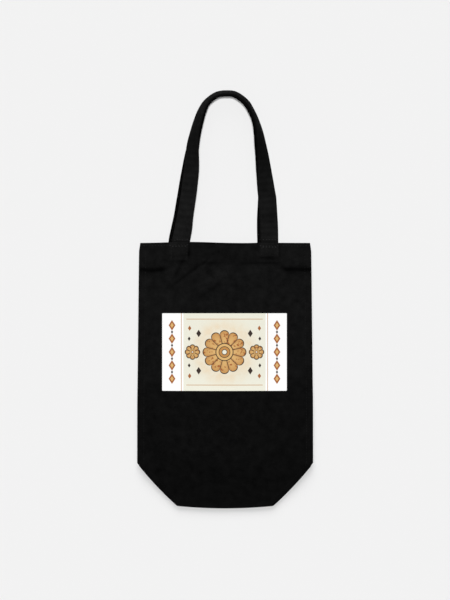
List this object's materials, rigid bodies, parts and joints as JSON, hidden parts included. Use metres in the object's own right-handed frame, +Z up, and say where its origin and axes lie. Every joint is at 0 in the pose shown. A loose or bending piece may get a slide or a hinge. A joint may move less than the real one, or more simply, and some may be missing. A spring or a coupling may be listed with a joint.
{
  "type": "bottle gift bag",
  "caption": "Cloth gift bag for a bottle, lying flat with its base folded under, webbing loop handles and a printed front panel.",
  "frame": {"origin": "middle of the outline of bag and handles, on the surface that it lies on", "axes": "+Y from the bottom edge to the handles, +Z up out of the printed front, +X to the right seen from the front"},
  "size_m": [0.185, 0.4406, 0.0195],
  "materials": {
    "bag_cloth": "matt black woven cloth",
    "webbing": "matt black webbing",
    "print": "smooth cream and white print on cloth"
  },
  "bodies": {
    "root": {"body": "bag_cloth", "hem_band": "bag_cloth", "side_seam_left": "bag_cloth", "side_seam_right": "bag_cloth", "handle_front": "webbing", "handle_back": "webbing", "print_panel": "print"}
  },
  "joints": []
}
